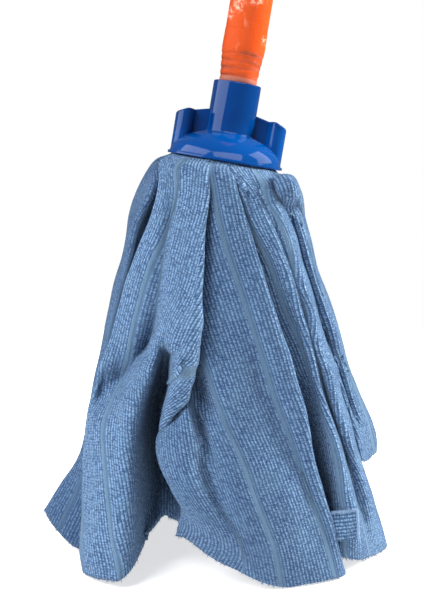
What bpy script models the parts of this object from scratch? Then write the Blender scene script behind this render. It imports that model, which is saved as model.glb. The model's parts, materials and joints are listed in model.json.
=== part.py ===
"""A microfibre cloth mop: eight terry cloths gathered under a blue screw cap, and a film-covered wooden handle.

Lengths are in millimetres in the constants and functions below, and MM turns them into Blender's metres.
The head's own frame has its origin at the centre of the cap's rim plane and its Z along the handle. The cloths
hang from that frame and end on the floor, z = 0.
"""

from math import acos, asin, cos, degrees, pi, radians, sin, tau

import bmesh
import bpy
from mathutils import Matrix, Vector
from mathutils.geometry import interpolate_bezier

MM = 0.001
GAP = 0.35  # free space between neighbouring solids

# Stance: the mop stands on its cloths with the handle leaning towards +X.
LEAN = radians(9.5)
RIM_HEIGHT = 226.0

# Socket cap
RIM_R = 33.4
RIM_LOW, RIM_TOP = -0.6, 1.2
DOME_R, DOME_H, DOME_BASE = 32.4, 16.2, 0.6
CAVITY_R, CAVITY_H = 30.6, 14.4
TUBE_R = 13.65
TUBE_TOP = 44.4
MOUTH_ROUND = 0.7
BOSS_R, BOSS_LOW = 8.0, 4.6
PRESS_RING = (13.0, 19.5, 8.9)  # inner radius, outer radius, lowest z
BORE_FLOOR = 14.6
SEAT_R, SEAT_DEPTH = 10.85, 2.1
ROUND_STEPS = 48

# Grip wings: a thin web and an oval pillar on each side of the socket
WEB_HALF, WEB_START = 2.2, 9.0
WING_LOW, WING_POINTS = 0.3, 12
PILLAR_R, PILLAR_HALF_R, PILLAR_HALF_T = 26.4, 5.7, 8.2
WING_HEIGHTS = ((12.0, 28.8), (21.0, 25.8), (25.0, 26.2), (32.2, 23.0))  # (radius, top z)
WING_BEVEL = 0.7

# Screw thread between the handle and the cap, right-handed
PITCH = 4.0
THREAD_LOW, THREAD_TURNS = 17.8, 5.5
THREAD_CREST, THREAD_ROOT = 10.3, 8.5
CREST_HALF, ROOT_HALF = 0.5, 1.15  # half widths of the ridge along the axis
THREAD_CLEARANCE = 0.4
BORE_R = 9.2
THREAD_STEPS = 18
CORE_STEPS = 30  # differs from the thread, so that no edges of the two coincide

# Clamp that holds the cloths in the cap
DISC = (2.5, 22.0, 1.2, 4.2)  # inner radius, outer radius, low z, high z
WASHER = (2.5, 5.6, -0.15, 0.85)
TAPE = (11.0, 18.5, 4.55, 5.15)
SCREW_SHANK_R, SCREW_HEAD_R, SCREW_HEAD_H = 1.75, 3.8, 2.2
SCREW_TIP = 13.4
PILOT_R = 2.1

# Handle
NECK_R = 8.8
NECK_LOW, NECK_HIGH = 41.6, 48.0
RING_IN, RING_OUT = 9.2, 10.45
RING_LOW, RING_HIGH = 42.7, 47.6
RIB_COUNT, RIB_PITCH = 4, 3.75
RIB_R_LOW, RIB_R_HIGH, RIB_DEPTH = 10.5, 12.0, 0.55
TIP_LOW = 15.4
STICK_R, SPIGOT_R, SPIGOT_LOW = 11.15, 6.4, 24.0
FILM_IN, FILM_OUT = 11.5, 12.0
STICK_TOP = 1108.0
CAP_SKIRT, CAP_R = 26.0, 13.9
EYE_R, EYE_HOLE_R, EYE_HALF, EYE_RISE = 13.0, 5.5, 3.4, 22.0
PIN_R, PIN_HEAD_R, PIN_HEAD_H = 0.8, 2.0, 0.9

# Cloths: where the middle of the cloth runs, first as (radius, z) in the head's frame, then as rings
# (height, half width along X, half depth along Y, centre X, centre Y) in the standing frame.
CLOTH_HALF = 1.5
CLOTH_TOP = ((10.8, 7.0), (20.0, 7.0), (24.3, 5.2), (27.6, 1.2), (29.2, -2.8), (38.5, -6.5))
CLOTH_RINGS = (
    (208.0, 45.5, 42.0, -3.0, -1.0),
    (188.0, 51.0, 46.0, -2.5, -1.0),
    (145.0, 62.5, 56.0, -2.5, -2.0),
    (87.0, 77.0, 66.0, 0.0, -3.0),
    (29.0, 92.0, 75.0, -5.0, -5.0),
    (0.0, 98.0, 78.0, -5.0, -5.0),
)
CLOTH_NAMES = ("right", "back_right", "back", "back_left", "left", "front_left", "front", "front_right")
CLOTH_COLUMNS = 4
ROWS_PER_SPAN = 1

BLUE = (0.012, 0.085, 0.45)
ORANGE = (0.86, 0.13, 0.03)
CLOTH_BLUE = (0.16, 0.30, 0.50)


# ---------------------------------------------------------------- materials and objects


def material(name, colour, roughness, metallic=0.0):
    made = bpy.data.materials.new(name)
    made.use_nodes = True
    shader = made.node_tree.nodes["Principled BSDF"]
    shader.inputs["Base Color"].default_value = (*colour, 1.0)
    shader.inputs["Roughness"].default_value = roughness
    shader.inputs["Metallic"].default_value = metallic
    return made


def materials():
    return {
        "cap": material("blue_polypropylene", BLUE, 0.22),
        "cloth": material("microfibre_terry", CLOTH_BLUE, 0.95),
        "film": material("orange_film", ORANGE, 0.4),
        "tip": material("orange_polypropylene", ORANGE, 0.45),
        "wood": material("pine", (0.62, 0.43, 0.24), 0.7),
        "steel": material("zinc_plated_steel", (0.62, 0.62, 0.6), 0.35, 1.0),
        "ring": material("pale_washer", (0.62, 0.45, 0.40), 0.7),
        "tape": material("woven_tape", (0.75, 0.76, 0.78), 0.9),
        "disc": material("blue_clamp_plastic", (0.02, 0.10, 0.40), 0.35),
    }


def empty(name, parent, matrix):
    made = bpy.data.objects.new(name, None)
    bpy.context.scene.collection.objects.link(made)
    made.parent = parent
    made.matrix_local = matrix
    return made


def solid(name, verts, faces, parent, look=None, smooth=35):
    """An object from vertices in millimetres, with its faces turned outwards."""
    mesh = bpy.data.meshes.new(name)
    mesh.from_pydata([Vector(v) * MM for v in verts], [], faces)
    shape = bmesh.new()
    shape.from_mesh(mesh)
    bmesh.ops.recalc_face_normals(shape, faces=shape.faces)
    shape.to_mesh(mesh)
    shape.free()
    mesh.shade_smooth()
    mesh.set_sharp_from_angle(angle=radians(smooth))
    made = bpy.data.objects.new(name, mesh)
    bpy.context.scene.collection.objects.link(made)
    made.parent = parent
    if look:
        mesh.materials.append(look)
    else:
        made.hide_render = True
        made.display_type = "WIRE"
    return made


def boolean(target, other, operation):
    step = target.modifiers.new(operation.lower() + "_" + other.name, "BOOLEAN")
    step.operation = operation
    step.object = other


# ---------------------------------------------------------------- shapes


def turned(profile, steps=ROUND_STEPS):
    """Vertices and faces of a closed profile of (radius, z), turned round Z. Points with radius 0 become poles."""
    verts, rings = [], []
    for radius, z in profile:
        if radius == 0:
            verts.append((0, 0, z))
            rings.append([len(verts) - 1] * steps)
        else:
            first = len(verts)
            verts += [(radius * cos(tau * i / steps), radius * sin(tau * i / steps), z) for i in range(steps)]
            rings.append(list(range(first, first + steps)))
    faces = []
    for ring, following in zip(rings, rings[1:] + rings[:1]):
        for i in range(steps):
            j = (i + 1) % steps
            corners = list(dict.fromkeys((ring[i], ring[j], following[j], following[i])))
            if len(corners) > 2:
                faces.append(corners)
    return verts, faces


def arc(centre, half_r, half_z, start, end, count):
    """Points of an elliptical arc in the (radius, z) plane, between two angles in degrees."""
    angles = [radians(start + (end - start) * i / (count - 1)) for i in range(count)]
    return [(centre[0] + half_r * cos(a), centre[1] + half_z * sin(a)) for a in angles]


def tube(inner, outer, low, high, ease=0.0):
    """The profile of a turned ring, with its outer edges eased."""
    if not ease:
        return [(inner, low), (outer, low), (outer, high), (inner, high)]
    return [
        (inner, low),
        (outer - ease, low),
        (outer, low + ease),
        (outer, high - ease),
        (outer - ease, high),
        (inner, high),
    ]


def ridge(first, last, root, crest, root_half, crest_half):
    """A closed helical ridge between two turn counts. Its section is a trapezoid from the root to the crest radius."""
    steps = [round(first * THREAD_STEPS) + i for i in range(round((last - first) * THREAD_STEPS) + 1)]
    verts, faces = [], []
    for step in steps:
        turn = step / THREAD_STEPS
        for radius, shift in ((root, -root_half), (crest, -crest_half), (crest, crest_half), (root, root_half)):
            verts.append((radius * cos(tau * turn), radius * sin(tau * turn), THREAD_LOW + PITCH * turn + shift))
    for i in range(len(steps) - 1):
        a, b = 4 * i, 4 * (i + 1)
        for k in range(4):
            m = (k + 1) % 4
            faces.append((a + k, a + m, b + m, b + k))
    faces.append((0, 1, 2, 3))
    faces.append(tuple(len(verts) - k for k in (1, 2, 3, 4)))
    return verts, faces


def wing_outline(trim):
    """One half of a wing seen from above, as (x, y) from inside the socket's wall to the wing's outer end."""
    web, half_r, half_t = WEB_HALF - trim, PILLAR_HALF_R - trim, PILLAR_HALF_T - trim
    start = pi - asin(web / half_t)
    points = [(WEB_START, web)]
    for i in range(WING_POINTS):
        turn = start * (1 - i / WING_POINTS)
        points.append((PILLAR_R + half_r * cos(turn), half_t * sin(turn)))
    return points, PILLAR_R + half_r


def wing(side):
    """A web and its pillar as one upright solid, top edge eased. side is 1 to the right and -1 to the left."""
    verts, loops = [], []
    for trim, top in ((0.0, None), (0.0, -WING_BEVEL), (WING_BEVEL, 0.0)):
        half, end = wing_outline(trim)
        loop = half + [(end, 0.0)] + [(x, -y) for x, y in reversed(half)]
        loops.append(range(len(verts), len(verts) + len(loop)))
        verts += [(side * x, y, WING_LOW if top is None else wing_top(x) + top) for x, y in loop]
    size = len(loops[0])
    faces = []
    for lower, upper in zip(loops, loops[1:]):
        faces += [(lower[i], lower[(i + 1) % size], upper[(i + 1) % size], upper[i]) for i in range(size)]
    for loop in (loops[0], loops[-1]):
        for i in range(size // 2):
            faces.append(tuple(dict.fromkeys((loop[i], loop[i + 1], loop[size - 2 - i], loop[size - 1 - i]))))
    return verts, faces


def bar(radius, low, high, steps=16):
    return turned([(0, low), (radius, low), (radius, high), (0, high)], steps)


# ---------------------------------------------------------------- the cap and its clamp


def wing_top(x):
    """Height of a wing's top edge at a distance from the axis."""
    radius = abs(x)
    for (r0, z0), (r1, z1) in zip(WING_HEIGHTS, WING_HEIGHTS[1:]):
        if radius <= r1:
            share = max(0.0, (radius - r0) / (r1 - r0))
            return z0 + (z1 - z0) * share
    return WING_HEIGHTS[-1][1]


def cap_outside():
    """Rim, dome and socket tube as one solid profile, from the rim's underside to the mouth."""
    start = degrees(asin((RIM_TOP - DOME_BASE) / DOME_H))
    end = degrees(acos((TUBE_R + 1.2) / DOME_R))
    dome = arc((0, DOME_BASE), DOME_R, DOME_H, start, end, 9)
    fillet_z = dome[-1][1]
    return [
        (0, RIM_LOW),
        (RIM_R - 0.4, RIM_LOW),
        (RIM_R, RIM_LOW + 0.4),
        (RIM_R, RIM_TOP - 0.5),
        (RIM_R - 0.5, RIM_TOP),
        *dome,
        (TUBE_R + 0.35, fillet_z + 0.55),
        (TUBE_R, fillet_z + 1.5),
        (TUBE_R, TUBE_TOP - MOUTH_ROUND),
        (TUBE_R - MOUTH_ROUND * 0.3, TUBE_TOP - MOUTH_ROUND * 0.3),
        (TUBE_R - MOUTH_ROUND, TUBE_TOP),
        (0, TUBE_TOP),
    ]


def cap_cavity():
    """The hollow under the dome, with the boss and the pressing ring left standing in it."""
    inner, outer, low = PRESS_RING
    roof = arc((0, RIM_LOW), CAVITY_R, CAVITY_H, 0, degrees(acos(outer / CAVITY_R)), 7)
    ceiling = BORE_FLOOR - 2.2
    return [
        (0, RIM_LOW - 2),
        (CAVITY_R, RIM_LOW - 2),
        *roof,
        (outer, low),
        (inner, low),
        (inner, ceiling),
        (BOSS_R, ceiling),
        (BOSS_R, BOSS_LOW),
        (0, BOSS_LOW),
    ]


def socket_cap(head, looks):
    cap = solid("socket_cap", *turned(cap_outside()), head, looks["cap"], smooth=32)
    for side, word in ((1, "right"), (-1, "left")):
        boolean(cap, solid("wing_" + word, *wing(side), head), "UNION")
    cutters = {
        "bore": bar(BORE_R, BORE_FLOOR, TUBE_TOP + 1, CORE_STEPS),
        "thread_cut": ridge(
            -0.25,
            THREAD_TURNS + 1,
            BORE_R - 0.5,
            THREAD_CREST + THREAD_CLEARANCE,
            ROOT_HALF + THREAD_CLEARANCE,
            CREST_HALF + THREAD_CLEARANCE,
        ),
        "seat": bar(SEAT_R, TUBE_TOP - SEAT_DEPTH, TUBE_TOP + 2, CORE_STEPS),
        "cavity": turned(cap_cavity()),
        "pilot": bar(PILOT_R, BOSS_LOW - 1, BORE_FLOOR + 1),
    }
    for word, shape in cutters.items():
        boolean(cap, solid(word, *shape, head), "DIFFERENCE")


def clamp(head, looks):
    solid("clamp_disc", *turned(tube(*DISC, 0.6), 40), head, looks["disc"])
    solid("clamp_washer", *turned(tube(*WASHER), 24), head, looks["steel"])
    solid("gather_tape", *turned(tube(*TAPE), 40), head, looks["tape"])
    seat = WASHER[2] - GAP
    solid(
        "clamp_screw",
        *turned(
            [
                (0, seat - SCREW_HEAD_H),
                (SCREW_HEAD_R * 0.55, seat - SCREW_HEAD_H),
                (SCREW_HEAD_R * 0.9, seat - SCREW_HEAD_H * 0.6),
                (SCREW_HEAD_R, seat),
                (SCREW_SHANK_R, seat),
                (SCREW_SHANK_R, SCREW_TIP - 1.8),
                (0, SCREW_TIP),
            ],
            20,
        ),
        head,
        looks["steel"],
    )


# ---------------------------------------------------------------- the cloths


def cloth_line(angle, head_matrix):
    """Points along the middle of the cloth in the plane at that angle, from the clamped top to the hem."""
    points = []
    for radius, z in CLOTH_TOP:
        points.append(head_matrix @ Vector((radius * cos(angle), radius * sin(angle), z)))
    for height, half_x, half_y, centre_x, centre_y in CLOTH_RINGS:
        points.append(Vector((centre_x + half_x * cos(angle), centre_y + half_y * sin(angle), height)))
    line = [points[0]]
    for i in range(len(points) - 1):
        before = points[max(i - 1, 0)]
        here, there = points[i], points[i + 1]
        after = points[min(i + 2, len(points) - 1)]
        reach = (there - here).length / 3
        leave = here + (there - before).normalized() * reach
        arrive = there - (after - here).normalized() * reach
        line += interpolate_bezier(here, leave, arrive, there, ROWS_PER_SPAN + 1)[1:]
    return line


def cloth_panel(name, middle, head_matrix, parent, look):
    """A closed shell one eighth of the way round, with a free gap to the next one."""
    half = tau / 16
    columns = []
    for i in range(CLOTH_COLUMNS + 1):
        share = 2 * i / CLOTH_COLUMNS - 1
        plain = cloth_line(middle + share * half, head_matrix)
        ahead = cloth_line(middle + share * half + 0.01, head_matrix)
        column = []
        for k, point in enumerate(plain):
            across = (ahead[k] - point).normalized()
            along = (plain[min(k + 1, len(plain) - 1)] - plain[max(k - 1, 0)]).normalized()
            out = across.cross(along).normalized() * -1
            if k == len(plain) - 1:
                out = Vector((out.x, out.y, 0)).normalized()
            point = point - across * share * GAP * 0.6
            column.append((point - out * CLOTH_HALF, point + out * CLOTH_HALF))
        columns.append(column)
    rows = len(columns[0])
    verts = [point for column in columns for pair in column for point in pair]

    def at(column, row, side):
        return (column * rows + row) * 2 + side

    faces = []
    for c in range(CLOTH_COLUMNS):
        for r in range(rows - 1):
            for side in (0, 1):
                faces.append((at(c, r, side), at(c + 1, r, side), at(c + 1, r + 1, side), at(c, r + 1, side)))
        for r in (0, rows - 1):
            faces.append((at(c, r, 0), at(c + 1, r, 0), at(c + 1, r, 1), at(c, r, 1)))
    for r in range(rows - 1):
        for c in (0, CLOTH_COLUMNS):
            faces.append((at(c, r, 0), at(c, r + 1, 0), at(c, r + 1, 1), at(c, r, 1)))
    solid(name, verts, faces, parent, look, smooth=60)


def cloths(frame, head_matrix, looks):
    for i, word in enumerate(CLOTH_NAMES):
        cloth_panel("cloth_" + word, tau * i / len(CLOTH_NAMES), head_matrix, frame, looks["cloth"])


# ---------------------------------------------------------------- the handle


def screw_end(handle, looks):
    """The plastic end of the handle: thread, waist for the loose ring, and the ribbed taper."""
    ribs = []
    for i in range(RIB_COUNT):
        for share, depth in ((0.0, RIB_DEPTH), (0.22, 0.08), (0.5, 0.0), (0.78, 0.08)):
            along = (i + share) / RIB_COUNT
            radius = RIB_R_LOW + (RIB_R_HIGH - RIB_R_LOW) * along - depth
            ribs.append((radius, NECK_HIGH + GAP + (i + share) * RIB_PITCH))
    top = NECK_HIGH + GAP + RIB_COUNT * RIB_PITCH
    profile = [
        (0, TIP_LOW),
        (THREAD_ROOT - 1.2, TIP_LOW),
        (THREAD_ROOT, TIP_LOW + 1.0),
        (THREAD_ROOT, NECK_LOW),
        (NECK_R, NECK_LOW),
        (NECK_R, NECK_HIGH + GAP),
        *ribs,
        (RIB_R_HIGH - RIB_DEPTH, top),
        (SPIGOT_R + GAP, top),
        (SPIGOT_R + GAP, SPIGOT_LOW - GAP),
        (0, SPIGOT_LOW - GAP),
    ]
    end = solid("screw_end", *turned(profile, CORE_STEPS), handle, looks["tip"])
    thread = ridge(0, THREAD_TURNS, THREAD_ROOT - 0.5, THREAD_CREST, ROOT_HALF, CREST_HALF)
    boolean(end, solid("thread_ridge", *thread, handle), "UNION")
    solid("neck_ring", *turned(tube(RING_IN, RING_OUT, RING_LOW, RING_HIGH, 0.4), 36), handle, looks["ring"])
    return end, top


def stick_and_film(handle, looks, low):
    profile = [
        (0, SPIGOT_LOW),
        (SPIGOT_R, SPIGOT_LOW),
        (SPIGOT_R, low),
        (STICK_R, low),
        (STICK_R, STICK_TOP),
        (0, STICK_TOP),
    ]
    stick = solid("stick", *turned(profile, 40), handle, looks["wood"])
    film = solid("film_sleeve", *turned(tube(FILM_IN, FILM_OUT, low, STICK_TOP), 48), handle, looks["film"])
    return stick, film


def eye_tab(low):
    """The flat hanging eye: a tab with a round top, whose broad faces look along Y."""
    count = 24
    centre = low + EYE_RISE
    outline = [(-EYE_R * 0.78, low), (EYE_R * 0.78, low)]
    for i in range(count + 1):
        turn = radians(-25) + radians(230) * i / count
        outline.append((EYE_R * cos(turn), centre + EYE_R * sin(turn)))
    size = len(outline)
    verts = [(x, -EYE_HALF, z) for x, z in outline] + [(x, EYE_HALF, z) for x, z in outline]
    faces = [tuple(range(size)), tuple(size + i for i in range(size))]
    faces += [(i, (i + 1) % size, size + (i + 1) % size, size + i) for i in range(size)]
    return verts, faces, centre


def hanger_cap(handle, looks):
    skirt_low = STICK_TOP - CAP_SKIRT
    shell_top = STICK_TOP + GAP + 2.6
    profile = [
        (FILM_OUT + GAP, skirt_low),
        (CAP_R - 0.5, skirt_low),
        (CAP_R, skirt_low + 0.5),
        (CAP_R, shell_top - 2.0),
        (CAP_R - 0.6, shell_top - 0.6),
        (CAP_R - 2.0, shell_top),
        (0, shell_top),
        (0, STICK_TOP + GAP),
        (FILM_OUT + GAP, STICK_TOP + GAP),
    ]
    cap = solid("hanger_cap", *turned(profile, 36), handle, looks["cap"])
    verts, faces, centre = eye_tab(shell_top - 1.5)
    boolean(cap, solid("eye_tab", verts, faces, handle), "UNION")
    hole = solid("eye_hole", *bar(EYE_HOLE_R, -EYE_HALF - 2, EYE_HALF + 2, 32), handle)
    hole.matrix_local = Matrix.Translation((0, 0, centre * MM)) @ Matrix.Rotation(pi / 2, 4, "X")
    boolean(cap, hole, "DIFFERENCE")
    return cap


def tack(name, z, surface, depth, pierced, handle, look):
    """A small nail driven in from the back, and its clearance hole in everything that it goes through."""
    facing = Matrix.Translation((0, 0, z * MM)) @ Matrix.Rotation(-pi / 2, 4, "X")
    head_low = surface + GAP
    nail = [
        (0, depth),
        (PIN_R, depth + 1.5),
        (PIN_R, head_low),
        (PIN_HEAD_R, head_low),
        (PIN_HEAD_R * 0.8, head_low + PIN_HEAD_H),
        (0, head_low + PIN_HEAD_H),
    ]
    made = solid(name, *turned(nail, 16), handle, look)
    hole = solid(name + "_hole", *bar(PIN_R + GAP, depth - GAP, surface + 4, 12), handle)
    for piece in (made, hole):
        piece.matrix_local = facing
    for target in pierced:
        boolean(target, hole, "DIFFERENCE")


def handle_parts(handle, looks):
    end, top = screw_end(handle, looks)
    stick, film = stick_and_film(handle, looks, top + GAP)
    cap = hanger_cap(handle, looks)
    tack("end_tack", top - RIB_PITCH * 1.5, RIB_R_HIGH - 0.5, 3.0, (end, stick), handle, looks["steel"])
    tack("cap_tack", STICK_TOP - CAP_SKIRT / 2, CAP_R, 4.0, (cap, film, stick), handle, looks["steel"])


# ---------------------------------------------------------------- assembly


def centre_on_floor(frame):
    """Moves everything so that the middle of the whole object's footprint is at the origin."""
    bpy.context.view_layer.update()
    graph = bpy.context.evaluated_depsgraph_get()
    corners = []
    for obj in bpy.context.scene.objects:
        if obj.type == "MESH" and not obj.hide_render:
            shape = obj.evaluated_get(graph)
            corners += [shape.matrix_world @ v.co for v in shape.data.vertices]
    low_x, high_x = min(c.x for c in corners), max(c.x for c in corners)
    low_y, high_y = min(c.y for c in corners), max(c.y for c in corners)
    frame.location = (-(low_x + high_x) / 2, -(low_y + high_y) / 2, 0)


def main():
    for old in list(bpy.data.objects):
        bpy.data.objects.remove(old)
    looks = materials()
    frame = empty("mop_frame", None, Matrix.Identity(4))
    tilt = Matrix.Rotation(LEAN, 4, "Y")
    head = empty("head_axis", frame, Matrix.Translation((0, 0, RIM_HEIGHT * MM)) @ tilt)
    handle = empty("handle_axis", head, Matrix.Identity(4))
    socket_cap(head, looks)
    clamp(head, looks)
    cloths(frame, Matrix.Translation((0, 0, RIM_HEIGHT)) @ tilt, looks)
    handle_parts(handle, looks)
    centre_on_floor(frame)


main()
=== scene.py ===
"""The looks of a mop with terry cloths.

Folded sheets of cloth, a glossy cap, wrinkled film on the handle, a pale floor, soft lights and a camera.
"""

import json
import math
import random

import bpy
import numpy as np
from mathutils import Matrix, Vector, noise


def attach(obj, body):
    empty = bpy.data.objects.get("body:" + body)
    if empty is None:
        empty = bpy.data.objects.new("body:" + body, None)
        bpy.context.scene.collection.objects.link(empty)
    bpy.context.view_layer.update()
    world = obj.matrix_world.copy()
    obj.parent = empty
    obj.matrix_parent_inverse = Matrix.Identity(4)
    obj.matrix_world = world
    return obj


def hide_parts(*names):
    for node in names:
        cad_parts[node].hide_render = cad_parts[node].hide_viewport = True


MM = 0.001
SEED = 20260

# Lengths are in millimetres, and angles in degrees. The rim's foot is the floor's point under the middle of
# the cap's rim.

# Sizes that the CAD part also has, apart from the skirt's first ring.
MOUTH_HEIGHT = 44.4  # from the rim to the cap's mouth, along the axis
SKIRT_RINGS = (  # height, half width, half depth, centre x, centre y, measured from the rim's foot
    (216, 41, 38, -3.5, -1),
    (208, 45.5, 42, -3, -1),
    (188, 51, 46, -2.5, -1),
    (145, 62.5, 56, -2.5, -2),
    (87, 77, 66, 0, -3),
    (29, 92, 75, -5, -5),
    (0, 98, 78, -5, -5),
)

# Where a cloth comes out of the cap and passes under its rim: radius, and height from the rim along the axis.
RIM_WAY = ((22.5, 5.6), (26.0, 2.2), (29.5, -2.0), (33.0, -4.2), (37.5, -5.8))

# Terry cloth.
RIB_PITCH = 2.0
LOOP_PITCH = 1.5
RIB_HEIGHT = 0.34
CLOTH_THICKNESS = 1.7
PILE = 1.4  # how far the pile stands out from the guides
CLOTH_LENGTH = 270
LIMP_HEIGHT = 0.9  # of the small waves that limp cloth has
LIMP_LENGTH = 19
FRINGE_PER_MM = 4
FLOOR_GAP = 0.2  # how far the loose ends keep off the floor
ROW_PITCH = 2.0
COLUMN_PITCH = 0.42
SOFTENING = 24  # how many times the folds are blurred across

# A guide is one line down a cloth: its number, angle at the rim, lift at the rim, and points down to the hem.
# Points are (across, depth, height) from the rim's foot. Negative depth is towards the camera.
# These five tables were not written by hand. A separate program projected places that were picked by eye and
# printed them in millimetres, and many points were moved afterwards, some by hand and some by scripts.
FRONT_LEFT = (
    (-6, -160, -1, (
        (-32, -29, 210), (-35, -31, 196), (-42, -31, 179), (-49, -31, 158), (-56, -31, 132),
        (-64, -29, 110), (-71, -27, 85), (-76, -28, 62), (-77, -28, 32), (-79, -28, 3))),
    (-3, -157, 0, (
        (-34, -30, 211), (-38, -33, 196), (-46, -32, 179), (-53, -32, 158), (-60, -33, 132),
        (-68, -34, 109), (-75, -37, 84), (-76, -42, 65), (-78, -43, 36), (-80, -44, 9), (-78, -43, 1))),
    (0, -154, 1, (
        (-35, -32, 212), (-39, -36, 196), (-47, -35, 179), (-54, -36, 158), (-61, -37, 132),
        (-69, -38, 110), (-75, -42, 87), (-77, -47, 64), (-77, -53, 39), (-78, -58, 14), (-77, -59, 2))),
    (2.6, -148, 1, (
        (-33, -35, 212), (-36, -40, 197), (-43, -40, 180), (-50, -41, 159), (-57, -41, 133),
        (-64, -39, 113), (-69, -37, 97), (-70, -52, 86), (-69, -60, 68), (-69, -66, 43), (-70, -71, 19),
        (-69, -70, 3))),
    (6, -135, 1, (
        (-29, -38, 209), (-34, -42, 193), (-39, -44, 175), (-43, -46, 156), (-48, -46, 131),
        (-53, -41, 114), (-56, -36, 105), (-57, -56, 97), (-59, -66, 82), (-60, -71, 62), (-61, -76, 37),
        (-61, -76, 4))),
    (9, -126, 1, (
        (-25, -40, 207), (-30, -41, 189), (-33, -44, 169), (-36, -46, 149), (-39, -43, 134),
        (-42, -39, 125), (-45, -55, 117), (-47, -64, 108), (-51, -68, 97), (-53, -73, 79), (-54, -77, 58),
        (-55, -81, 33), (-56, -79, 5))),
    (11, -118, 1, (
        (-21, -43, 206), (-26, -46, 188), (-30, -49, 168), (-32, -52, 151), (-35, -54, 138),
        (-37, -57, 130), (-39, -62, 120), (-42, -65, 108), (-46, -67, 96), (-49, -69, 82), (-50, -73, 63),
        (-50, -76, 43), (-51, -76, 10))),
    (13, -114, 1, (
        (-19, -45, 206), (-23, -48, 186), (-26, -53, 168), (-29, -57, 151), (-32, -61, 138),
        (-34, -62, 130), (-36, -50, 121), (-40, -36, 104), (-44, -38, 88), (-45, -42, 70), (-46, -48, 50),
        (-46, -58, 17))),
    (15.5, -108, 1, (
        (-15, -47, 205), (-19, -51, 186), (-22, -56, 167), (-24, -62, 151), (-28, -66, 138),
        (-30, -66, 130), (-33, -45, 121), (-37, -25, 102), (-41, -22, 83), (-42, -26, 63), (-42, -36, 43),
        (-42, -54, 23))),
    (18.5, -105, 1, (
        (-11, -49, 205), (-13, -55, 186), (-15, -60, 166), (-18, -66, 150), (-23, -70, 137),
        (-26, -70, 127), (-29, -50, 119), (-33, -22, 100), (-37, -14, 80), (-38, -16, 62), (-38, -28, 42),
        (-38, -52, 27))),
    (20.5, -103.5, 1, (
        (-10, -48, 207), (-11, -52, 197), (-12, -57, 184), (-13, -63, 166), (-15, -69, 150),
        (-18, -72, 138), (-23, -73, 126), (-27, -70, 116), (-30, -48, 106), (-35, -16, 80),
        (-35, -16, 56), (-35, -48, 30))),
    (25, -105, -2, (
        (-12, -41, 207), (-14, -44, 196), (-15, -49, 178), (-17, -54, 162), (-18, -58, 150),
        (-13.4, -67, 140), (-17.4, -74, 130), (-22.4, -74, 121), (-25.4, -71, 114), (-31, -46, 101),
        (-33, -16, 74), (-33, -18, 51), (-31, -50, 30))),
    (28, -107, -2.5, (
        (-13, -40, 206), (-15, -44, 189.5), (-16.5, -50, 170), (-18.5, -55, 153), (-19, -59, 140.5),
        (-13.9, -68.5, 131.5), (-18.4, -74.5, 122.5), (-23.4, -75, 114), (-27.8, -71, 107),
        (-32, -47, 95), (-32, -18, 70.5), (-31, -21, 49), (-29, -51, 29.5))),
    (31, -109, -3, (
        (-14, -39, 205), (-16, -44, 183), (-18, -51, 162), (-20, -56, 144), (-20, -60, 131),
        (-14.4, -70, 123), (-19.4, -75, 115), (-24.4, -76, 107), (-30.2, -71, 100), (-33, -48, 89),
        (-31, -20, 67), (-29, -24, 47), (-27, -52, 29))),
    (34, -110, -3.5, (
        (-15, -38, 203.5), (-17.5, -43.5, 180.5), (-19.5, -50.5, 156.5), (-22, -56, 135.5),
        (-21.7, -61, 121), (-16.9, -71.5, 113), (-21.8, -75.5, 106.5), (-26.8, -75.5, 100),
        (-31.7, -71, 93.5), (-33.5, -50, 82.5), (-30, -23, 62), (-27.5, -29, 44.5), (-25.5, -54, 28.5))),
    (37, -111, -4, (
        (-16, -37, 202), (-19, -43, 178), (-21, -50, 151), (-24, -56, 127), (-23.4, -62, 111),
        (-19.4, -73, 103), (-24.2, -76, 98), (-29.2, -75, 93), (-33.2, -71, 87), (-34, -52, 76),
        (-29, -26, 57), (-26, -34, 42), (-24, -56, 28))),
    (42, -112, -5, (
        (-17, -36, 199), (-22, -41, 172), (-25, -49, 140), (-28, -54, 113), (-30, -62, 94),
        (-26, -73, 86), (-31, -75, 81), (-34, -73, 78), (-36, -69, 74), (-33, -52, 64), (-27, -36, 46),
        (-21, -56, 27))),
)
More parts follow.
